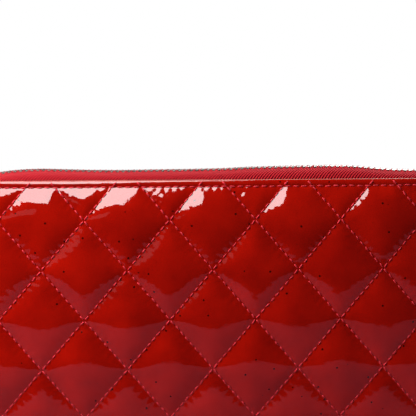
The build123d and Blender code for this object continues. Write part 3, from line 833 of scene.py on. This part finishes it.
def woven_strip(name, rings, stations, across):
    """Closed strip through rings of points, with its UV map in metres along and across it."""
    rows, columns = len(rings), len(across)
    faces = strip_faces(rows, columns, closed=True)
    last = (rows - 1) * columns
    faces += [tuple(range(columns)), tuple(last + c for c in range(columns))[::-1]]
    piece = tidy_normals(new_mesh(name, np.vstack(rings), faces, [TAPE_CLOTH]))
    places = np.column_stack([np.repeat(stations, columns), np.tile(across, rows)]) * MM
    corners = np.empty(len(piece.data.loops), int)
    piece.data.loops.foreach_get("vertex_index", corners)
    piece.data.uv_layers.new(name="UVMap").data.foreach_set("uv", places[corners].ravel())
    return piece


def tape_centreline():
    """Cross-section of the front tape as (outward, y, share of the wave), from its sewn edge to the teeth."""
    low = -0.5  # where the flat sewn part starts to curve out
    line = [(out, -TAPE_SEWN, 0.0) for out in (-5.0, -3.5, -2.0)]
    for turn in np.arange(13) / 12 * QUARTER:
        line.append((
            low + (CHAIN_RISE - low) * math.sin(turn),
            -TAPE_FLAT - (TAPE_SEWN - TAPE_FLAT) * math.cos(turn),
            math.sin(turn) ** 1.2,
        ))
    line += [(CHAIN_RISE, y, 1.0) for y in (-3.2, -2.6, -2.0, -1.6, -TAPE_EDGE)]
    return np.array(line)


def zip_tape(name, body, side, phase, source):
    """Woven tape with its puckers between the teeth."""
    centre = tape_centreline()
    line = centre[:, :2]
    section = thick_outline(line, -line_normals(line) * (TAPE / 2))
    outer = np.arange(len(section)) < len(line)
    share = np.concatenate([centre[:, 2], centre[::-1, 2]])
    width = lengths_along(line)
    stations = np.linspace(0, CHAIN_LENGTH, int(CHAIN_LENGTH / TAPE_STEP) + 1)
    x, z, out_x, out_z = chain_frame(stations)
    wave = tape_wave(stations)
    tooth_turn = 2 * math.pi * (stations - (TOOTH_START - TAPE_FOOT)) / TOOTH_PITCH + phase
    first_tooth = RIGHT_TEETH_FOOT - TAPE_FOOT
    pucker = smoothstep(stations, first_tooth - 1, first_tooth + 1) * (0.5 + 0.5 * np.cos(tooth_turn))
    pucker *= LOW_PUCKER + (1 - LOW_PUCKER) * smoothstep(stations, CHAIN_SIDE, CHAIN_SIDE + 6)
    near_teeth = smoothstep(-section[:, 1], 5.4, 3.4)
    at_teeth = near_teeth * (np.abs(section[:, 1]) < 1.7)
    rings = []
    for k, swell in enumerate(pucker):
        lift = wave[k] * share + np.where(outer, 1, -1) * TAPE_PUCKER * swell * near_teeth
        n = section[:, 0] - CHAIN_RISE + lift
        y = section[:, 1] + TAPE_RIPPLE * swell * at_teeth
        rings.append(np.column_stack([x[k] + out_x[k] * n, side * y, z[k] + out_z[k] * n]))
    piece = woven_strip(name, rings, stations, np.concatenate([width, width[::-1]]))
    attach(piece, body, "zip_tape", source)


for prefix, body, side in COVERS:
    zip_tape(prefix + "_tape_cloth", body, side, 0.0 if body == FRONT else math.pi, prefix + "_zip_tape")
for prefix, body, side in COVERS:
    waved_teeth(prefix + "_teeth_waved", prefix + "_zip_teeth", body)


# ------------------------------------------------------------------ flat leather and cloth layers
RIM_STEPS = np.array([0.0, 0.03, 0.08, 0.16, 0.3, 0.6, 1.0, 1.3, 1.45, 1.6, 1.9])
CREASE_INSET, CREASE_WIDTH = 1.45, 0.13
LAYER_CELL = 2.4
SEAM_THREAD = 0.16  # radius of the thin thread inside


def close_steps(width):
    """Places from 0 to width, close together near both ends."""
    last = RIM_STEPS[-1]
    inner = np.linspace(last, width - last, max(2, int((width - 2 * last) / LAYER_CELL)))
    return np.concatenate([RIM_STEPS[:-1], inner, width - RIM_STEPS[-2::-1]])


def layer_piece(name, side, low, high, half, foot, top, radius, paint, swell, crease=0.06):
    """Flat layer between two depths, with rounded edges and a creased line inside them."""
    up, over = close_steps(top - foot), close_steps(2 * half)
    last = RIM_STEPS[-1]
    z = foot + up[:, None] + 0 * over[None, :]
    rise = np.clip(z - (top - radius), 0, radius)
    width = half - radius + np.sqrt(np.clip(radius ** 2 - rise ** 2, 0, None))
    place = over[None, :] + 0 * z
    from_right = 2 * half - place
    middle = -width + last + (place - last) / (2 * half - 2 * last) * (2 * width - 2 * last)
    x = np.where(place < last, -width + place, np.where(from_right < last, width - from_right, middle))
    inset = np.minimum(np.minimum(place, from_right), np.minimum(z - foot, top - z))
    thick = (high - low) / 2
    reach = thick * np.sqrt(1 - (1 - np.clip(inset / thick, 0, 1)) ** 2)
    groove = crease * np.exp(-((inset - CREASE_INSET) / CREASE_WIDTH) ** 2)
    level = (low + high) / 2 + swell(x, z)
    rows, columns = z.shape
    near = np.stack([x, -side * (level - reach + groove), z], -1).reshape(-1, 3)
    far = np.stack([x, -side * (level + reach - groove), z], -1).reshape(-1, 3)
    faces = strip_faces(rows, columns)
    faces += [face[::-1] for face in strip_faces(rows, columns, start=rows * columns)]
    return tidy_normals(new_mesh(name, np.vstack([near, far]), faces, [paint]), weld=0.002)


def calf_layer(name, source, body, side, radius, swell, top=None):
    """Leather layer in the place of a flat CAD node."""
    low, high = node_box(source)
    near, far = sorted((abs(low[1]), abs(high[1])))
    piece = layer_piece(name, side, near, far, high[0], low[2], top or high[2], radius, CALF, swell)
    attach(piece, body, "inner_leather", source)


def uneven(x, z, phase):
    """Very slight waviness of a sewn layer."""
    return 0.05 * np.sin(x / 13.0 + phase) * np.sin(z / 9.0 + 2 * phase)


def arch(half, foot, top, radius, depth):
    """Points up one side, over the rounded top and down the other side. depth is a y for each (x, z)."""
    line = [(half, foot), (half, top - radius)]
    for angle in np.arange(1, 9) / 8 * QUARTER:
        line.append((half - radius + radius * math.cos(angle), top - radius + radius * math.sin(angle)))
    line += [(x, top) for x in np.linspace(half - radius, 0, 30)[1:]]
    line += [(-x, z) for x, z in line[-2::-1]]
    return [(x, depth(x, z), z) for x, z in line]


# ------------------------------------------------------------------ inside of the covers
LINING_DEPTHS = (9.3, 9.8)
CARD_TOPS = [80.0, 67.0, 54.0]
CARD_SWELL = [0.05, 0.10, 0.16, 0.24]
CARD_COLUMN = 85.0  # width of one column of cards
# Lowest height, highest height and depth of each card pocket's part in view.
CARD_FACES = [(14.6, 53.6, 7.4), (54.6, 66.6, 7.8), (67.6, 79.6, 8.2)]
CARD_SEAM_X = 83.4
PANEL_FACE, GUSSET_FACE = 8.6, 6.98  # depths of the slip panel's face, and of the gusset's leaf on the cards
PANEL_TOP_SEAM = 86.4
GUSSET_SEAM_X, GUSSET_SEAM_TOP = 86.6, 63.0
LINING_SEAM_FOOT = 17.0


def card_swell(row):
    """How far the slot panel (row 0) or a row of card pockets (1 to 3) stands in towards the middle."""
    def swell(x, z):
        column = np.abs(np.sin(math.pi * x / CARD_COLUMN)) ** 0.6
        return -CARD_SWELL[row] * column * smoothstep(z, 14.0, 44.0) * (1 + 6 * uneven(x, z, 0.7))
    return swell


def cover_seams(side):
    """Divider, side and top seams of the card pockets, the gusset seams, and the edge seam's inside."""
    normal = (0, side, 0)

    def upright(x, depth, low, high):
        return seam_spots([(x, -side * depth, low), (x, -side * depth, high)], normal)

    def panel_face(x, z):
        return -side * (PANEL_FACE + float(card_swell(0)(x, z)))

    spots = []
    for x in (-CARD_SEAM_X, 0.0, CARD_SEAM_X):
        for low, high, depth in CARD_FACES:
            spots += upright(x, depth, low, high)
    spots += upright(0, PANEL_FACE, 80.6, 86.2)
    spots += seam_spots(arch(CARD_SEAM_X, 80.6, PANEL_TOP_SEAM, 6.4, panel_face)[1:-1], normal)
    for end in (-1, 1):
        spots += upright(end * GUSSET_SEAM_X, GUSSET_FACE, 16.0, GUSSET_SEAM_TOP)
    for x, v, along_x, along_v, length in edge_stitches():
        if v > LINING_SEAM_FOOT:
            spots.append(((x, -side * LINING_DEPTHS[0], v), (along_x, 0, along_v), normal, length))
    return spots


def sewn_cover(prefix, body, side):
    """Lining, slot panel and card pockets of one cover, with the thread that holds them."""
    lining = layer_piece(
        prefix + "_lining_cloth", side, *LINING_DEPTHS, 92.0, 9.2, 99.0, 17.0, LINING,
        lambda x, z: 0.5 * uneven(x, z, 1.9), crease=0.04,
    )
    cover_blend(lining, body, "lining", prefix + "_cover_lining")
    calf_layer(prefix + "_slip_panel", prefix + "_slot_panel", body, side, 8.0, card_swell(0))
    for row, top in enumerate(CARD_TOPS, 1):
        calf_layer(f"{prefix}_card_pockets_{row}", f"{prefix}_card_slots_row_{row}", body, side, 3.0,
                   card_swell(row), top)
    stitch_mesh(prefix + "_lining_thread", body, "inner_leather", cover_seams(side), SEAM_THREAD)


for prefix, body, side in COVERS:
    sewn_cover(prefix, body, side)


# ------------------------------------------------------------------ end gussets
GUSSET_FOOT, GUSSET_TOP = 13.4, 64.0
GUSSET_WALL, GUSSET_COVER = 3.4, 7.2  # depths of the leaf on the pocket and of the leaf on the cover
GUSSET_EDGE = 88.0
GUSSET_THICK = 0.36
GUSSET_FLANGE = 1.2  # flat strip that is sewn down
GUSSET_APEX = 4.4, 6.0  # height and depth of the V at its narrow end
GUSSET_MOUTH = 26.0  # its depth at the top
GUSSET_FOLD = 0.4


def gusset_section(deep):
    """Middle line of a folded gusset as (inset from its edge, depth)."""
    half_gap = (GUSSET_COVER - GUSSET_WALL) / 2
    bow = half_gap - 0.35
    line = [(0.0, 0.0), (GUSSET_FLANGE, 0.0)]
    for share in np.arange(1, 13) / 13:
        line.append((GUSSET_FLANGE + (deep - GUSSET_FLANGE - GUSSET_FOLD) * share, bow * share ** 1.25))
    for angle in np.arange(1, 7) / 6 * QUARTER:
        line.append((deep - GUSSET_FOLD + GUSSET_FOLD * math.sin(angle), half_gap - 0.35 * math.cos(angle)))
    inner = [(inset, GUSSET_WALL + drop) for inset, drop in line]
    outer = [(inset, GUSSET_COVER + GUSSET_WALL - depth) for inset, depth in inner[-2::-1]]
    return np.array(inner + outer)


def gusset(name, body, side, end, *sources):
    """Leather V at one end of a note compartment."""
    heights = np.concatenate([
        [GUSSET_FOOT, GUSSET_FOOT + 0.15], np.linspace(GUSSET_FOOT + 1, GUSSET_TOP - 1.2, 34),
        [GUSSET_TOP - 0.6, GUSSET_TOP - 0.2, GUSSET_TOP - 0.06, GUSSET_TOP],
    ])
    fades = np.interp(
        heights, [GUSSET_FOOT, GUSSET_FOOT + 0.2, GUSSET_TOP - 0.2, GUSSET_TOP], [0.3, 1, 1, 0.35],
    )
    verts = []
    for z, fade in zip(heights, fades):
        deep = np.interp(z, [GUSSET_APEX[0], GUSSET_TOP], [GUSSET_APEX[1], GUSSET_MOUTH])
        line = gusset_section(deep)
        offset = line_normals(line) * GUSSET_THICK / 2 * fade
        line[:, 1] += 0.1 * np.sin(z / 7.0 + line[:, 0] / 5.0) * (line[:, 0] > 1.3)
        ring = thick_outline(line, offset)
        ring[:, 0] = np.clip(ring[:, 0], 0, deep)
        verts += [(end * (GUSSET_EDGE - inset), -side * depth, z) for inset, depth in ring]
    columns = len(ring)
    faces = strip_faces(len(heights), columns, closed=True)
    for start in (0, (len(heights) - 1) * columns):
        for k in range(columns // 2 - 1):
            faces.append((start + k, start + k + 1, start + columns - 2 - k, start + columns - 1 - k))
    piece = tidy_normals(new_mesh(name, verts, faces, [CALF]))
    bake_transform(piece)
    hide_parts(*sources)


for prefix, body, side in COVERS:
    for hand, end in (("left", -1), ("right", 1)):
        leaves = [f"{prefix}_gusset_{leaf}_{hand}" for leaf in ("inner", "outer")]
        gusset(f"{prefix}_gusset_{hand}", body, side, end, *leaves)


# ------------------------------------------------------------------ coin pocket
COIN_LEVEL = 78.3  # height of the coin zip's teeth
COIN_BEND = 75.3  # where its tapes start to bend in
COIN_TAPE_HALF = 84.0
COIN_TAPE = 0.38
WALL_FACE = 3.2


def wall_swell(x, z):
    """The pocket's walls belly out a little between the gussets."""
    across = np.clip(1 - (np.abs(x) / 62.0) ** 2, 0, 1)
    return 0.35 * across * smoothstep(z, 4.0, 40.0) * smoothstep(z, 74.0, 60.0) + 0.4 * uneven(x, z, 0.3)


def coin_tape(name, side, source):
    """Woven tape of the coin zip, sewn inside the wall and bent in to the teeth."""
    line = [(2.3, z) for z in np.linspace(66.0, COIN_BEND, 10)]
    for angle in np.arange(1, 9) / 8 * QUARTER:
        line.append((1.6 + 0.7 * math.cos(angle), COIN_BEND + 3.0 * math.sin(angle)))
    line = np.array(line + [(depth, COIN_LEVEL) for depth in (1.35, 1.1, 0.92)])
    section = thick_outline(line, line_normals(line) * (COIN_TAPE / 2))
    width = lengths_along(line)
    stations = np.linspace(-COIN_TAPE_HALF, COIN_TAPE_HALF, 340)
    share = np.clip((section[:, 1] - 74.2) / 3.0, 0, 1) * (section[:, 1] < 77.4)
    rings = []
    for x in stations:
        belly = 0.10 * share * math.sin(x / 6.0) + 0.06 * share * math.sin(x / 2.3)
        rings.append(np.column_stack([
            np.full(len(section), x), -side * (section[:, 0] + belly), section[:, 1],
        ]))
    piece = woven_strip(name, rings, stations, np.concatenate([width, width[::-1]]))
    attach(piece, SPINE, "zip_tape", source)


def coin_seams(side):
    """Top seam of a coin pocket wall, and the gussets' seams on it."""
    normal = (0, -side, 0)

    def wall_face(x, z):
        return -side * (WALL_FACE + float(wall_swell(x, z)))

    spots = seam_spots(arch(86.55, 66.0, 72.55, 2.6, wall_face), normal)
    for end in (-1, 1):
        x, y = end * GUSSET_SEAM_X, -side * 3.6
        spots += seam_spots([(x, y, 15.0), (x, y, GUSSET_SEAM_TOP)], normal)
    return spots


for prefix, _, side in COVERS:
    calf_layer(f"coin_pocket_{prefix}_leather", f"coin_pocket_{prefix}_wall", SPINE, side, 4.0, wall_swell)
    coin_tape(f"coin_zip_{prefix}_cloth", side, f"coin_zip_{prefix}_tape")
stitch_mesh("coin_pocket_thread", SPINE, "inner_leather", coin_seams(1) + coin_seams(-1), SEAM_THREAD)


# ------------------------------------------------------------------ small leather parts
SHARP = 0.6  # radians between faces at an edge that is rounded


def softened(name, source, body, paint, slot, bevel, cell=2.2, ripple=0.08):
    """Rounded and slightly uneven copy of a plain solid."""
    mesh = bmesh.new()
    mesh.from_mesh(frame["nodes"][source].data)
    bmesh.ops.remove_doubles(mesh, verts=mesh.verts[:], dist=1e-6)
    bmesh.ops.dissolve_limit(mesh, angle_limit=0.02, verts=mesh.verts[:], edges=mesh.edges[:])
    sharp = [e for e in mesh.edges if len(e.link_faces) == 2 and e.calc_face_angle() > SHARP]
    bmesh.ops.bevel(
        mesh, geom=sharp, offset=bevel * MM, offset_type="OFFSET", segments=3, profile=0.5,
        affect="EDGES", clamp_overlap=True,
    )
    bmesh.ops.triangulate(mesh, faces=mesh.faces[:])
    for _ in range(8):
        long_edges = [e for e in mesh.edges if e.calc_length() > cell * MM]
        if not long_edges:
            break
        bmesh.ops.subdivide_edges(mesh, edges=long_edges, cuts=1)
        bmesh.ops.triangulate(mesh, faces=[f for f in mesh.faces if len(f.verts) > 3])
    mesh.normal_update()
    for point in mesh.verts:
        x, y, z = point.co / MM
        lift = math.sin(x / 4.1 + z / 3.0) * math.sin(y / 3.3 + x / 9.0 + 1.0)
        point.co = point.co - point.normal * ripple * MM * (0.5 + 0.5 * lift)
    data = bpy.data.meshes.new(name)
    mesh.to_mesh(data)
    mesh.free()
    data.materials.append(paint)
    data.polygons.foreach_set("use_smooth", [True] * len(data.polygons))
    attach(new_object(name, data), body, slot, source)


softened("spine_lining_cloth", "spine_lining", SPINE, LINING, "lining", 0.18, cell=6.0)
softened("coin_pocket_floor_leather", "coin_pocket_floor", SPINE, CALF, "inner_leather", 0.2, cell=4.0)
for hand in ("left", "right"):
    softened(f"coin_pocket_{hand}_leather", f"coin_pocket_{hand}_side", SPINE, CALF, "inner_leather", 0.35)
for hand in ("left", "right"):
    softened(f"{hand}_end_leather", f"{hand}_end_tab", SPINE, PATENT, "outer_leather", 0.35, cell=1.2)
softened(
    "main_pull_leather", "main_pull_tab", "main_pull", PATENT, "outer_leather", 0.5, cell=0.9, ripple=0.06,
)

TAB_BULGE, TAB_HALF = 3.5, 10.8  # the end tabs are half ellipses in plan
TAB_SEAM_Z = 13.9


def end_tab_spots(end):
    """Seam round the top of an end tab."""
    spots = []
    for y in np.arange(-8.4, 8.5, 2.1):
        curve = math.sqrt(1 - (y / TAB_HALF) ** 2)
        slope = -TAB_BULGE * y / TAB_HALF ** 2 / curve
        along = np.array([end * slope, 1, 0]) / math.hypot(slope, 1)
        normal = np.array([end, -slope, 0]) / math.hypot(slope, 1)
        spots.append(((end * (HALF + TAB_BULGE * curve - 0.08), y, TAB_SEAM_Z), along, normal, 1.6))
    return spots


def pull_spots():
    """Seam round both faces of the pull's leather tab."""
    low, high = node_box("main_pull_tab")
    loop = [(-2.8, 15.9), (-2.8, 5.4), (-2.2, 4.6), (2.2, 4.6), (2.8, 5.4), (2.8, 15.9), (-2.8, 15.9)]
    spots = []
    for face, out in ((low[0] + 0.05, -1), (high[0] - 0.05, 1)):
        spots += seam_spots([(face, y, z) for y, z in loop], (out, 0, 0), 1.7)
    return spots


stitch_mesh("end_tab_thread", SPINE, "outer_leather", end_tab_spots(-1) + end_tab_spots(1), 0.2)
stitch_mesh("main_pull_thread", "main_pull", "outer_leather", pull_spots(), SEAM_THREAD)


# ------------------------------------------------------------------ camera
CAMERA_AZIMUTH, CAMERA_ELEVATION, CAMERA_ROLL = (math.radians(angle) for angle in (-3.2, 5.0, -0.17))
CAMERA_DISTANCE = 0.8
CAMERA_TARGET = Vector((-1.48, -10.9, 90.0)) * MM

camera_data = bpy.data.cameras.new("camera")
camera_data.lens = 197.7
camera_data.sensor_width = 36.0
camera_data.clip_start = 0.05
camera = new_object("camera", camera_data)
towards_camera = Vector((
    math.sin(CAMERA_AZIMUTH) * math.cos(CAMERA_ELEVATION),
    -math.cos(CAMERA_AZIMUTH) * math.cos(CAMERA_ELEVATION),
    math.sin(CAMERA_ELEVATION),
))
camera.location = CAMERA_TARGET + towards_camera * CAMERA_DISTANCE
look = (-towards_camera).to_track_quat("-Z", "Y").to_matrix()
camera.rotation_euler = (look @ Matrix.Rotation(CAMERA_ROLL, 3, "Z")).to_euler()
bpy.context.scene.camera = camera


# ------------------------------------------------------------------ light and floor
def area_light(name, place, target, size, power, diffuse=True, glossy=True):
    """Softbox that the camera does not see, and that may leave out matt light or reflections."""
    data = bpy.data.lights.new(name, "AREA")
    data.shape = "RECTANGLE"
    data.size, data.size_y = size
    data.energy = power
    light = new_object(name, data)
    light.location = place
    light.rotation_euler = (Vector(target) - Vector(place)).to_track_quat("-Z", "Y").to_euler()
    light.visible_camera = False
    light.visible_diffuse = diffuse
    light.visible_glossy = glossy


MIDDLE = (0, 0, 0.06)
area_light("softbox", (-0.199, -0.205, 0.36), (-0.072, 0.067, 0.09), (0.45, 0.34), 4.8, diffuse=False)
area_light("front_fill", (-0.40, -0.42, 0.28), MIDDLE, (0.36, 0.26), 1.9, glossy=False)
area_light("overhead_fill", (-0.25, -0.09, 0.35), (-0.02, 0, 0.07), (0.2, 0.2), 3.1, glossy=False)
area_light("left_reflector", (-0.28, -0.36, 0.16), (0, 0, 0.09), (0.40, 0.05), 0.02, diffuse=False)
area_light("back_softbox", (0.32, 0.50, 0.42), MIDDLE, (0.55, 0.30), 6.0)
area_light("right_softbox", (0.62, 0.10, 0.22), MIDDLE, (0.30, 0.30), 3.0)
area_light("left_softbox", (-0.62, 0.10, 0.22), MIDDLE, (0.30, 0.30), 3.0)


def camera_ray(tree):
    return tree.nodes.new("ShaderNodeLightPath").outputs["Is Camera Ray"]


def pale_floor():
    """Plain floor: pale to look at, and dimmer in what it reflects and lights."""
    mat, tree = material("pale_floor")
    # Off camera the floor turns a dim pinkish red: a painted reflection tone in the patent leather, and
    # pinkish bounced light.
    finish(mat, ramp(tree, camera_ray(tree), [(0.0, (0.24, 0.072, 0.10)), (1.0, (0.72, 0.72, 0.72))]),
           Roughness=0.7, Specular_IOR_Level=0.1)
    side, front, back = 450, -205, 560
    corners = [(-side, front, 0), (side, front, 0), (side, back, 0), (-side, back, 0)]
    return new_mesh("floor", corners, [(0, 1, 2, 3)], [mat])


pale_floor()

world = bpy.data.worlds.new("studio")
bpy.context.scene.world = world
world.use_nodes = True
sky = node(world.node_tree, "ShaderNodeMix", data_type="RGBA")
world.node_tree.links.new(camera_ray(world.node_tree), sky.inputs["Factor"])
sky.inputs["A"].default_value = (0.03, 0.026, 0.02, 1)
sky.inputs["B"].default_value = (1, 1, 1, 1)
world.node_tree.links.new(sky.outputs["Result"], world.node_tree.nodes["Background"].inputs["Color"])
bpy.context.scene.view_settings.view_transform = "Standard"
